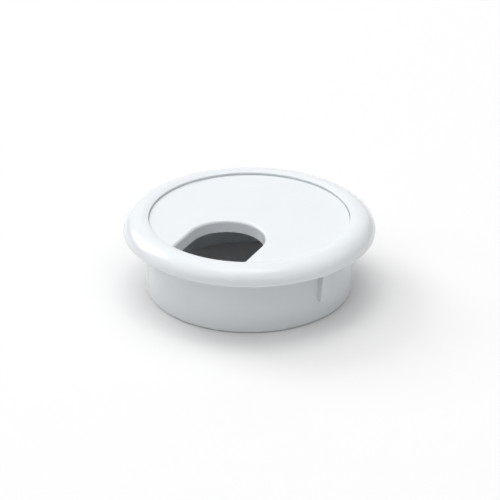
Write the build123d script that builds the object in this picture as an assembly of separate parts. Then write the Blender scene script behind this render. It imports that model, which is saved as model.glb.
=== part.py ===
from build123d import *
import math
import os

os.makedirs("parts", exist_ok=True)

# Desk cable grommet in two mouldings: a liner that drops into a round hole in a desk top, and a lid
# with a cable notch that clips into the liner and turns in it.
# Millimetres. Z is up and is the axis of the barrel, z = 0 is the foot of the barrel,
# and the mouth of the cable notch points along -Y.

# Hole in the board, and how the barrel sits in it
hole_r = 30.0
barrel_play = 1.5
rib_bite = 0.7

# Barrel: straight below the ribs, then drafted; the bore opens upwards
barrel_h = 17.0
barrel_draft = 0.5
foot_wall = 3.7
foot_round = 0.9
bore_draft = 2.4
bore_edge = 0.2

# Crush ribs on opposite sides of the barrel
rib_count = 2
rib_turn = -21.0
rib_w = 2.7
rib_low_z = 6.4
rib_low_h = 1.0

# Flange: its section is a bow that falls to the outer edge and, past the crest, a little to the recess
flange_reach = 5.9
flange_t = 4.25
flange_edge = 0.35
flange_edge_cut = 0.25
crest_reach = 1.8
crest_drop = 0.28
rim_cut = 0.1

# Groove moulded into the underside of the flange, crossed by webs
shoulder = 1.4
lip = 1.8
groove_roof = 2.05
groove_corner = 0.5
web_count = 12
web_t = 1.2
web_root = 0.4

# Recess that the lid lies in
seat_wall = 1.0
lid_drop = 0.95
lid_t = 2.15
seat_gap = 0.1
turn_gap = 0.08
lid_edge_cut = 0.1

# Cable notch in the lid: its wall leans in towards its foot
notch_w = 20.9
notch_centre = 13.85
notch_draft = 6.0
notch_edge_round = 0.8
notch_wall_t = 1.4

# Locating ring and stiffening webs under the lid
ring_h = 1.1
ring_t = 1.4
ring_gap = 0.2
spoke_h = 1.0
spoke_t = 1.2

# Clip fingers under the lid, and the run in the bore that their barbs turn in
finger_count = 3
finger_turn = 90.0
finger_arc = 20.0
finger_slot_arc = 2.4
finger_t = 1.3
barb_depth = 2.3
barb_catch = 0.5
barb_h = 0.6
barb_lead = 0.9
barb_gap = 0.25

# Moulding gate, out of sight under the lid
gate_r = 1.5
gate_h = 0.4
gate_y = 9.0

# Heights
under_z = barrel_h
top_z = under_z + flange_t
widest_z = under_z + flange_edge
groove_z = top_z - groove_roof
lid_z = top_z - lid_drop
plate_z = lid_z - lid_t
ledge_z = plate_z - seat_gap
ring_z = plate_z - ring_h
run_top_z = ledge_z - barb_depth
barb_top_z = run_top_z - barb_gap
barb_low_z = barb_top_z - barb_h
run_low_z = barb_low_z - barb_gap
finger_z = barb_low_z - barb_lead

# Radii
barrel_r = hole_r - barrel_play
barrel_top_r = barrel_r + (under_z - rib_low_z) * math.tan(math.radians(barrel_draft))
rib_top_r = hole_r + rib_bite
flange_r = barrel_r + flange_reach
groove_in_r = barrel_r + shoulder
groove_out_r = flange_r - lip
recess_r = barrel_r - seat_wall
crest_r = recess_r + crest_reach
lid_r = recess_r - turn_gap
notch_r = notch_w / 2


def bore_r(z):
    """Radius of the bore at a height."""
    return barrel_r - foot_wall + z * math.tan(math.radians(bore_draft))


barb_r = bore_r(run_top_z) + barb_catch
run_r = barb_r + barb_gap
ring_r = bore_r(finger_z) - ring_gap


def turned(outline, degrees=360):
    """A closed outline of (radius, height) points turned about the axis, from the +X side."""
    return revolve(Plane.XZ * make_face(outline), Axis.Z, degrees)


def make_liner():
    """The liner's section turned in one piece, then the webs under its flange and the crush ribs."""
    foot = Line((bore_r(0) + bore_edge, 0), (barrel_r - foot_round, 0))
    foot_edge = RadiusArc(foot @ 1, (barrel_r, foot_round), -foot_round)
    outside = Polyline(
        foot_edge @ 1,
        (barrel_r, rib_low_z),
        (barrel_top_r, under_z),
        (groove_in_r, under_z),
        (groove_in_r, groove_z - groove_corner),
        (groove_in_r + groove_corner, groove_z),
        (groove_out_r - groove_corner, groove_z),
        (groove_out_r, groove_z - groove_corner),
        (groove_out_r, under_z),
        (flange_r - flange_edge_cut, under_z),
        (flange_r, under_z + flange_edge_cut),
        (flange_r, widest_z),
    )
    flange_bow = EllipticalCenterArc(
        (crest_r, widest_z), flange_r - crest_r, top_z - widest_z, start_angle=0, arc_size=90
    )
    rim_fall = TangentArc((crest_r, top_z), (recess_r + rim_cut, top_z - crest_drop), tangent=(-1, 0))
    run_foot_z = run_low_z - (run_r - bore_r(run_low_z))
    inside = Polyline(
        rim_fall @ 1,
        (recess_r, top_z - crest_drop - rim_cut),
        (recess_r, ledge_z),
        (bore_r(ledge_z), ledge_z),
        (bore_r(run_top_z), run_top_z),
        (run_r, run_top_z),
        (run_r, run_low_z),
        (bore_r(run_foot_z), run_foot_z),
        (bore_r(bore_edge), bore_edge),
        foot @ 0,
    )
    body = turned(Curve() + [foot, foot_edge, outside, flange_bow, rim_fall, inside])

    web_len = groove_out_r - groove_in_r + 2 * web_root
    web_h = groove_z + web_root - under_z
    web = Box(web_len, web_t, web_h, align=(Align.MIN, Align.CENTER, Align.MIN))
    web = Pos(groove_in_r - web_root, 0, under_z) * web
    for place in PolarLocations(0, web_count, start_angle=rib_turn):
        body += place * web

    rib_root_r = barrel_r - foot_wall / 2
    rib_side = Polyline(
        (rib_root_r, rib_low_z),
        (barrel_r + rib_low_h, rib_low_z),
        (rib_top_r, under_z),
        (rib_top_r, groove_z),
        (groove_in_r, groove_z),
        (rib_root_r, under_z),
        close=True,
    )
    rib = extrude(Plane.XZ * make_face(rib_side), rib_w / 2, both=True)
    for place in PolarLocations(0, rib_count, start_angle=rib_turn):
        body += place * rib
    return body


def notch_plan(half_w):
    """A U in plan: round end towards the axis, straight sides, open past the rim of the lid."""
    mouth = Rectangle(2 * half_w, flange_r, align=(Align.CENTER, Align.MAX))
    return Pos(0, -notch_centre) * (Circle(half_w) + mouth)


def slice_of(plan, z_low, z_high):
    """A plan figure raised from one height to another."""
    return extrude(Plane.XY.offset(z_low) * plan, z_high - z_low)


def notch_cut():
    """The room in the notch, from the lid's face down to the foot of its wall."""
    return extrude(Plane.XY.offset(lid_z) * notch_plan(notch_r), ring_z - lid_z, taper=notch_draft)


def make_plate():
    """The lid's disc. The notch's soft top edge is made in a square slab, which is then trimmed round."""
    slab = slice_of(Rectangle(2 * flange_r, 2 * flange_r), plate_z, lid_z) - notch_cut()
    top_edges = slab.edges().group_by(Axis.Z)[-1]
    edge_reach = notch_r + notch_wall_t
    notch_edges = top_edges.filter_by(lambda edge: max(abs((edge @ t).X) for t in (0, 1)) < edge_reach)
    slab = fillet(notch_edges, notch_edge_round)
    disc = slice_of(Circle(lid_r), plate_z, lid_z)
    disc = chamfer(disc.edges().group_by(Axis.Z)[-1], lid_edge_cut)
    return slab & disc


def make_lid():
    """Plate, notch wall, locating ring, webs and clip fingers as one moulding."""
    bore_plan = Circle(ring_r)
    wall_plan = notch_plan(notch_r + notch_wall_t) & bore_plan
    ring_plan = bore_plan - Circle(ring_r - ring_t)
    under = slice_of(wall_plan + ring_plan, ring_z, plate_z)

    finger_turns = [finger_turn + k * 360 / finger_count for k in range(finger_count)]
    spoke_len = ring_r - ring_t / 2
    spoke = Pos(0, 0, plate_z) * Box(spoke_len, spoke_t, spoke_h, align=(Align.MIN, Align.CENTER, Align.MAX))
    for turn in finger_turns:
        under += Rot(0, 0, turn + 180) * spoke

    gap_arc = finger_arc + 2 * finger_slot_arc
    gap_side = Polyline(
        (ring_r - 2 * ring_t, ring_z),
        (ring_r + ring_gap, ring_z),
        (ring_r + ring_gap, plate_z),
        (ring_r - 2 * ring_t, plate_z),
        close=True,
    )
    finger_side = Polyline(
        (ring_r - finger_t, plate_z + lid_t / 2),
        (ring_r, plate_z + lid_t / 2),
        (ring_r, barb_top_z),
        (barb_r, barb_top_z),
        (barb_r, barb_low_z),
        (ring_r, finger_z),
        (ring_r - finger_t, finger_z),
        close=True,
    )
    gap = turned(gap_side, gap_arc)
    finger = turned(finger_side, finger_arc)
    for turn in finger_turns:
        under -= Rot(0, 0, turn - gap_arc / 2) * gap
        under += Rot(0, 0, turn - finger_arc / 2) * finger

    under -= notch_cut()
    gate = slice_of(Pos(0, gate_y) * Circle(gate_r), plate_z - gate_h, plate_z)
    return make_plate() + under + gate


for node, solid in (("liner", make_liner()), ("lid", make_lid())):
    export_step(solid, f"parts/{node}.step")
    print(node, len(solid.solids()), "solid,", round(solid.volume), "mm3,", solid.bounding_box())
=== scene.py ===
# %% [markdown]
# # A desk cable grommet
# A cable grommet lines the round hole in a desk top that cables go through. It is two plastic mouldings: a
# liner, which is a short barrel with a rounded flange, and a lid with a notch at its edge, which clips into
# the flange and turns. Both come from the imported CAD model, and nothing below moves them or changes their
# shape. This lesson gives them the finish of moulded plastic, a table to stand on, light and a camera.

# %% The frame
import math

import bpy
import numpy as np
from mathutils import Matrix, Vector

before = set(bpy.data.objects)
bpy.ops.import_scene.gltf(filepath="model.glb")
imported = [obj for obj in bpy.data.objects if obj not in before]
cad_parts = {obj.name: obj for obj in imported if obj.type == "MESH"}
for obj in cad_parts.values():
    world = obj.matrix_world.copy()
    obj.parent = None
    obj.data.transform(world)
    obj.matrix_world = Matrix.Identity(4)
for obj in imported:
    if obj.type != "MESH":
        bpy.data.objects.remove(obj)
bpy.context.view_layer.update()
MM = 0.001
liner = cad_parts["liner"]
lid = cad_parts["lid"]

# %% [markdown]
# ## The camera
# The photograph looks down on the grommet at about 27 degrees, from a little to the right of the notch. A
# camera could be placed by typing its six numbers. It is easier to check when it is placed as a photographer
# does it: aim at a point on the barrel's axis, step back from it along the line of sight, and pick the lens
# that makes the flange fill half of the picture.

# %% The photographer's stand
aim_height = 10.34 * MM
stand_off = 570 * MM
turn_right = math.radians(26.57)
look_down = math.radians(27.21)
aim = Vector((0, 0, aim_height))
toward_camera = Vector((
    math.sin(turn_right) * math.cos(look_down),
    -math.cos(turn_right) * math.cos(look_down),
    math.sin(look_down),
))
stand = aim + stand_off * toward_camera
print("the camera's stand is at", [round(c / MM) for c in stand], "mm from the middle of the barrel's foot")

# %% The studio camera
lens_mm = 149.3
film_mm = 36
frame_shift = 0.0012
nearest_seen = 10 * MM

camera_data = bpy.data.cameras.new("studio_camera")
camera_data.lens = lens_mm
camera_data.sensor_width = film_mm
camera_data.shift_x = frame_shift
camera_data.clip_start = nearest_seen
camera = bpy.data.objects.new("studio_camera", camera_data)
camera.location = stand
camera.rotation_euler = (-toward_camera).to_track_quat("-Z", "Y").to_euler()
bpy.context.scene.collection.objects.link(camera)
bpy.context.scene.camera = camera
print("the camera has a lens of", lens_mm, "mm")

# %% [markdown]
# ## The table
# The grommet stands on a plain pale table top that runs out of the picture on every side. A plane would do,
# but a disc has the same edge from every side. It is a grid with two parameters, the distance from the centre
# and the angle, worked out as whole arrays.

# %% A disc as a surface
table_radius = 2.0
table_rings = 8
table_spokes = 96


def disc_surface(radius, rings, spokes):
    """A flat disc: r times (cos t, sin t), with r spaced evenly out to the radius and t once round."""
    r = np.linspace(0, radius, rings + 1)[1:, None]
    t = np.linspace(0, 2 * np.pi, spokes, endpoint=False)[None, :]
    circles = np.stack([r * np.cos(t), r * np.sin(t), np.zeros((rings, spokes))], axis=-1)
    points = np.vstack([[0, 0, 0], circles.reshape(-1, 3)])
    k = np.arange(spokes)
    after = (k + 1) % spokes
    fan = np.stack([np.zeros(spokes, int), 1 + k, 1 + after], axis=1)
    row = np.arange(rings - 1)[:, None] * spokes + 1
    quads = np.stack([row + k, row + spokes + k, row + spokes + after, row + after], axis=-1)
    return points, fan.tolist() + quads.reshape(-1, 4).tolist()


table_points, table_faces = disc_surface(table_radius, table_rings, table_spokes)
print("a disc of", len(table_points), "points and", len(table_faces), "faces")

# %% The table top
table_mesh = bpy.data.meshes.new("table_top")
table_mesh.from_pydata(table_points, [], table_faces)
table = bpy.data.objects.new("table_top", table_mesh)
bpy.context.scene.collection.objects.link(table)
print("a table top", 2 * table_radius, "m across")

# %% [markdown]
# ## The paper on the table
# The table's surface is matt white paper, as on a photographer's table. It has no pattern that the photograph
# shows, so a plain diffuse white is enough, and its gloss is off so that no soft box shows in it.

# %% Pale paper
paper_white = (0.81, 0.81, 0.81, 1)
paper_roughness = 0.9
paper_gloss = 0.0

table_paper = bpy.data.materials.new("table_paper")
table_paper.use_nodes = True
paper = table_paper.node_tree.nodes["Principled BSDF"]
paper.inputs["Base Color"].default_value = paper_white
paper.inputs["Roughness"].default_value = paper_roughness
paper.inputs["Specular IOR Level"].default_value = paper_gloss
table.data.materials.append(table_paper)
print("pale paper on", table.name)

# %% [markdown]
# ## The walls
# The photograph has the light of a white studio, and a low view shows its walls behind the table. A white
# world would light the grommet from all round, and the barrel would not darken under the flange as it does in
# the photograph. So the walls are white where the camera sees them, and send only a little light themselves.

# %% White walls
wall_white = (1, 1, 1, 1)
wall_fill = 0.1
wall_seen = 1.0

white_walls = bpy.data.worlds.new("white_walls")
white_walls.use_nodes = True
wall_tree = white_walls.node_tree
wall_light = wall_tree.nodes["Background"]
wall_light.inputs["Color"].default_value = wall_white
wall_ray = wall_tree.nodes.new("ShaderNodeLightPath")
wall_level = wall_tree.nodes.new("ShaderNodeMapRange")
wall_level.inputs["To Min"].default_value = wall_fill
wall_level.inputs["To Max"].default_value = wall_seen
wall_tree.links.new(wall_ray.outputs["Is Camera Ray"], wall_level.inputs["Value"])
wall_tree.links.new(wall_level.outputs["Result"], wall_light.inputs["Strength"])
bpy.context.scene.world = white_walls
bpy.context.scene.view_settings.view_transform = "Standard"
print("white walls fill in at", wall_fill, "and are seen at", wall_seen)

# %% [markdown]
# ## The soft boxes
# Small lamps would draw hard shadows, which the photograph does not have, so every light is a soft box, a
# large square that glows evenly. One as wide as the room hangs overhead, for the pale top and the soft shadow
# at the foot, and a smaller one near its middle draws the bright band on the front of the rim. A window
# behind on the left lights that side of the rim and barrel, and four dim ones fill in from the back, from low
# on the left and from both sides of the camera. All are far away and large, so that the table is nearly as
# bright a metre off as it is at the grommet.

# %% Seven soft boxes
soft_box_distance = 4.8
picture_right = Vector((math.cos(turn_right), math.sin(turn_right), 0))
picture_back = Vector((-math.sin(turn_right), math.cos(turn_right), 0))


def soft_box(name, bearing, height, side, watts):
    """A square area light that faces the table's centre. The bearing is in degrees clockwise from the
    picture's back, seen from above, and the height is in degrees above the table."""
    b, h = math.radians(bearing), math.radians(height)
    level = math.sin(b) * picture_right + math.cos(b) * picture_back
    outward = math.cos(h) * level + math.sin(h) * Vector((0, 0, 1))
    data = bpy.data.lights.new(name, "AREA")
    data.size = side
    data.energy = watts
    lamp = bpy.data.objects.new(name, data)
    lamp.location = soft_box_distance * outward
    lamp.rotation_euler = (-outward).to_track_quat("-Z", "Y").to_euler()
    bpy.context.scene.collection.objects.link(lamp)
    print(name, "at", [round(c, 2) for c in lamp.location], "m")


soft_box("overhead_box", bearing=0, height=90, side=9.6, watts=323)
soft_box("key_box", bearing=345, height=82, side=2.4, watts=45)
soft_box("window_box", bearing=310, height=35, side=2.4, watts=81)
soft_box("back_box", bearing=0, height=15, side=4.8, watts=40)
soft_box("low_box", bearing=270, height=15, side=2.4, watts=18)
soft_box("left_box", bearing=225, height=35, side=3.2, watts=20)
soft_box("right_box", bearing=135, height=35, side=3.2, watts=17)

# %% [markdown]
# ## Helpers for nodes
# A finish in Blender is a graph of nodes. Every node could be added and set line by line, but the same lines
# would come back many times. Two short helpers do it instead: one adds a node and sets its properties, and
# one starts a group, which is a graph of its own with named sockets.

# %% Node helpers
def add_node(tree, kind, **settings):
    """A new node of one kind in a tree. Settings are the node's own properties."""
    node = tree.nodes.new(kind)
    for name, value in settings.items():
        setattr(node, name, value)
    return node


def new_group(name, inputs, outputs):
    """An empty shader node group with named sockets, given as {name: socket type}."""
    group = bpy.data.node_groups.new(name, "ShaderNodeTree")
    for label, kind in inputs.items():
        group.interface.new_socket(label, in_out="INPUT", socket_type=kind)
    for label, kind in outputs.items():
        group.interface.new_socket(label, in_out="OUTPUT", socket_type=kind)
    return group, group.nodes.new("NodeGroupInput"), group.nodes.new("NodeGroupOutput")


FLOAT = "NodeSocketFloat"
VECTOR = "NodeSocketVector"
print("node helpers ready")

# %% [markdown]
# ## The moulded skin
# Moulded plastic copies the skin of its mould. The mould's faces are spark-eroded, which leaves a fine even
# grain, and the plastic flows in with slow changes of gloss. An image of the grain could be wrapped round the
# parts, but it would need a map for each part. Noise worked out from the place of each point needs none, and
# it fits at every seam. Liner and lid share it, so it is one node group with values to set.

# %% The group for grain and gloss
grain_octaves = 2.0
grain_fineness = 0.6
cloud_octaves = 3.0

skin, skin_in, skin_out = new_group(
    "moulded_skin",
    {"Place in mm": VECTOR, "Grain per mm": FLOAT, "Cloud per mm": FLOAT},
    {"Grain": FLOAT, "Cloud": FLOAT},
)
grain_noise = add_node(skin, "ShaderNodeTexNoise")
grain_noise.inputs["Detail"].default_value = grain_octaves
grain_noise.inputs["Roughness"].default_value = grain_fineness
cloud_noise = add_node(skin, "ShaderNodeTexNoise")
cloud_noise.inputs["Detail"].default_value = cloud_octaves
for label, noise in (("Grain", grain_noise), ("Cloud", cloud_noise)):
    skin.links.new(skin_in.outputs["Place in mm"], noise.inputs["Vector"])
    skin.links.new(skin_in.outputs[label + " per mm"], noise.inputs["Scale"])
    skin.links.new(noise.outputs["Fac"], skin_out.inputs[label])
print("group", skin.name, "with", len(skin.nodes), "nodes")

# %% [markdown]
# ## Draw lines
# When the mould opens, a moulding slides off its core and cavity, and upright walls keep faint lines along
# the draw. To cut lines as fine as these, a mesh would need a great many faces. So they are noise again,
# squeezed so that it changes quickly round the wall and slowly along the height. The barrel and the notch's
# wall both have them, so they are a group as well.

# %% The group for draw lines
along_draw = 0.04
line_octaves = 1.0

draw, draw_in, draw_out = new_group(
    "draw_lines",
    {"Place in mm": VECTOR, "Lines per mm": FLOAT, "Upright": FLOAT},
    {"Lines": FLOAT},
)
squeeze = add_node(draw, "ShaderNodeVectorMath", operation="MULTIPLY")
squeeze.inputs[1].default_value = (1, 1, along_draw)
line_noise = add_node(draw, "ShaderNodeTexNoise")
line_noise.inputs["Detail"].default_value = line_octaves
on_walls = add_node(draw, "ShaderNodeMath", operation="MULTIPLY")
draw.links.new(draw_in.outputs["Place in mm"], squeeze.inputs[0])
draw.links.new(squeeze.outputs["Vector"], line_noise.inputs["Vector"])
draw.links.new(draw_in.outputs["Lines per mm"], line_noise.inputs["Scale"])
draw.links.new(line_noise.outputs["Fac"], on_walls.inputs[0])
draw.links.new(draw_in.outputs["Upright"], on_walls.inputs[1])
draw.links.new(on_walls.outputs["Value"], draw_out.inputs["Lines"])
print("group", draw.name, "with", len(draw.nodes), "nodes")

# %% [markdown]
# ## Skin and lines on a moulding
# Each moulding has the skin all over and the draw lines on its upright walls. A wall could be found by
# picking faces by hand, but the surface's normal tells it for every point: its Z is 0 on an upright wall and
# 1 or -1 on a level face. Both groups take the point's place in the moulding's own coordinates, so that the
# pattern stays on the lid when it turns.

# %% Where a point lies and how upright it is
def place_in_mm(tree):
    """The point's place in the moulding's own coordinates, in millimetres."""
    place = add_node(tree, "ShaderNodeTexCoord")
    in_mm = add_node(tree, "ShaderNodeVectorMath", operation="SCALE")
    in_mm.inputs["Scale"].default_value = 1 / MM
    tree.links.new(place.outputs["Object"], in_mm.inputs[0])
    return in_mm.outputs["Vector"]


def upright_share(tree):
    """1 less the size of the normal's Z: 1 on an upright wall, 0 on a level face."""
    facing = add_node(tree, "ShaderNodeNewGeometry")
    split = add_node(tree, "ShaderNodeSeparateXYZ")
    level = add_node(tree, "ShaderNodeMath", operation="ABSOLUTE")
    upright = add_node(tree, "ShaderNodeMath", operation="SUBTRACT", use_clamp=True)
    upright.inputs[0].default_value = 1
    tree.links.new(facing.outputs["Normal"], split.inputs["Vector"])
    tree.links.new(split.outputs["Z"], level.inputs[0])
    tree.links.new(level.outputs["Value"], upright.inputs[1])
    return upright.outputs["Value"]


print("place and upright share ready")

# %% Both groups at one moulding's densities
def skin_on(tree, place, grain_per_mm, cloud_per_mm):
    """The sockets for the grain and the cloud of the moulded skin."""
    skin_here = add_node(tree, "ShaderNodeGroup", node_tree=skin)
    skin_here.inputs["Grain per mm"].default_value = grain_per_mm
    skin_here.inputs["Cloud per mm"].default_value = cloud_per_mm
    tree.links.new(place, skin_here.inputs["Place in mm"])
    return skin_here.outputs["Grain"], skin_here.outputs["Cloud"]


def lines_on(tree, place, lines_per_mm):
    """The socket for the draw lines."""
    draw_here = add_node(tree, "ShaderNodeGroup", node_tree=draw)
    draw_here.inputs["Lines per mm"].default_value = lines_per_mm
    tree.links.new(place, draw_here.inputs["Place in mm"])
    tree.links.new(upright_share(tree), draw_here.inputs["Upright"])
    return draw_here.outputs["Lines"]


print("skin and lines ready")

# %% [markdown]
# ## The plastic
# Liner and lid are moulded from the same pale plastic, white with a little blue. The surface is satin: the
# soft boxes show in it as broad pale bands and not as mirror images. One colour and one roughness would make
# it look like a drawing of plastic, so both drift a little with the flow of the plastic in the mould.

# %% Drift of tint and roughness
plastic_colour = (0.745, 0.775, 0.80)
tint_drift = 0.015
satin_roughness = (0.16, 0.22)
cloud_range = (0.3, 0.7)


def drift_tint(tree, cloud, plastic):
    """A base colour that the cloud takes from a little darker to a little lighter."""
    tint = add_node(tree, "ShaderNodeMix", data_type="RGBA")
    tint.inputs["A"].default_value = (*(c * (1 - tint_drift) for c in plastic_colour), 1)
    tint.inputs["B"].default_value = (*(c * (1 + tint_drift) for c in plastic_colour), 1)
    tree.links.new(cloud, tint.inputs["Factor"])
    tree.links.new(tint.outputs["Result"], plastic.inputs["Base Color"])


def drift_roughness(tree, cloud, plastic):
    """A roughness that follows the cloud from one end of its range to the other."""
    rough = add_node(tree, "ShaderNodeMapRange")
    rough.inputs["From Min"].default_value, rough.inputs["From Max"].default_value = cloud_range
    rough.inputs["To Min"].default_value, rough.inputs["To Max"].default_value = satin_roughness
    tree.links.new(cloud, rough.inputs["Value"])
    tree.links.new(rough.outputs["Result"], plastic.inputs["Roughness"])


print("roughness drifts from", satin_roughness[0], "to", satin_roughness[1])

# %% [markdown]
# ## The relief
# The grain and the draw lines are a few thousandths of a millimetre high, just enough to give the light
# something to catch on. Real bumps of that size would need millions of faces. A bump node tilts the normal
# instead and leaves the shape as it is.

# %% Grain and lines as relief
line_share = 0.35
relief_strength = 0.25
relief_height = 0.01 * MM


def raise_relief(tree, grain, lines, plastic):
    """A bump whose height is the grain plus the draw lines times their share."""
    relief = add_node(tree, "ShaderNodeMath", operation="MULTIPLY_ADD")
    relief.inputs[1].default_value = line_share
    tree.links.new(lines, relief.inputs[0])
    tree.links.new(grain, relief.inputs[2])
    bump = add_node(tree, "ShaderNodeBump")
    bump.inputs["Strength"].default_value = relief_strength
    bump.inputs["Distance"].default_value = relief_height
    tree.links.new(relief.outputs["Value"], bump.inputs["Height"])
    tree.links.new(bump.outputs["Normal"], plastic.inputs["Normal"])


print("relief ready, with the lines at", line_share, "of the grain")

# %% [markdown]
# ## The finish of one moulding
# White plastic also lets a little light in and scatters it within a millimetre or so, which softens sharp
# edges and the dark line round the lid. The shader has that built in, so it takes a share and a depth, and
# the helpers above give the rest.

# %% Satin plastic
scatter_share = 0.2
scatter_depth = 0.8 * MM
scatter_by_colour = (1, 1, 1)


def satin_plastic(name, grain_per_mm, cloud_per_mm, lines_per_mm):
    """Pale satin plastic with the moulded skin and the draw lines at the densities of one moulding."""
    material = bpy.data.materials.new(name)
    material.use_nodes = True
    tree = material.node_tree
    plastic = tree.nodes["Principled BSDF"]
    plastic.inputs["Subsurface Weight"].default_value = scatter_share
    plastic.inputs["Subsurface Radius"].default_value = scatter_by_colour
    plastic.inputs["Subsurface Scale"].default_value = scatter_depth
    place = place_in_mm(tree)
    grain, cloud = skin_on(tree, place, grain_per_mm, cloud_per_mm)
    lines = lines_on(tree, place, lines_per_mm)
    drift_tint(tree, cloud, plastic)
    drift_roughness(tree, cloud, plastic)
    raise_relief(tree, grain, lines, plastic)
    print(name, "with", len(tree.nodes), "nodes")
    return material


print("satin plastic ready, with a scattering share of", scatter_share)

# %% [markdown]
# ## Both mouldings dressed
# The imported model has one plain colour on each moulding. A copy of its mesh could carry the new finish, but
# the mesh is right as it is, so only the material in its slot changes. The liner and the lid come out of two
# moulds, so the grain, the drift and the draw lines are a little closer on the lid.

# %% Plastic on the liner and the lid
def dress(moulding, material):
    """Puts a finish in the place of a moulding's packed colour."""
    for slot in moulding.material_slots:
        slot.material = material
    print(moulding.name, "wears", material.name, "in", len(moulding.material_slots), "slot")


dress(liner, satin_plastic("liner_plastic", grain_per_mm=4.0, cloud_per_mm=0.09, lines_per_mm=1.6))
dress(lid, satin_plastic("lid_plastic", grain_per_mm=4.5, cloud_per_mm=0.12, lines_per_mm=2.2))
